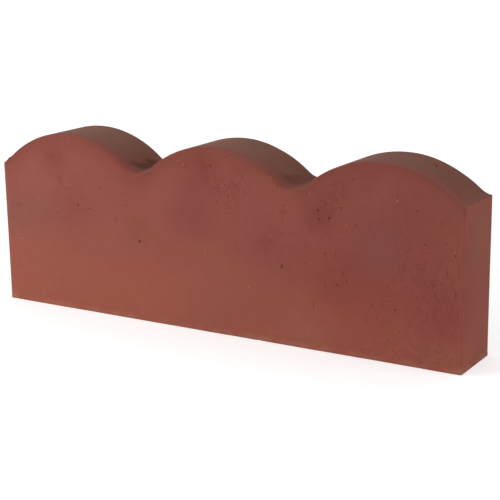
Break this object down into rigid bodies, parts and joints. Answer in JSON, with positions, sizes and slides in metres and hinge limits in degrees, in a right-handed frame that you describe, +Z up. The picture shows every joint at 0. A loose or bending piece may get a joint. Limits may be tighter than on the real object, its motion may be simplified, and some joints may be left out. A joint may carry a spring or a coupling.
{
  "type": "scalloped lawn edging stone",
  "caption": "Straight cast concrete edging block with a row of rounded scallops along its top, standing on a long flat base.",
  "frame": {"origin": "middle of the flat base, on the ground plane", "axes": "+X along the stone's length, +Y through its thickness from the front face to the back face, +Z up to the scallops"},
  "size_m": [0.4064, 0.0508, 0.144],
  "materials": {
    "red_concrete": "matte"
  },
  "bodies": {
    "root": {"edging_stone": "red_concrete"}
  },
  "joints": []
}
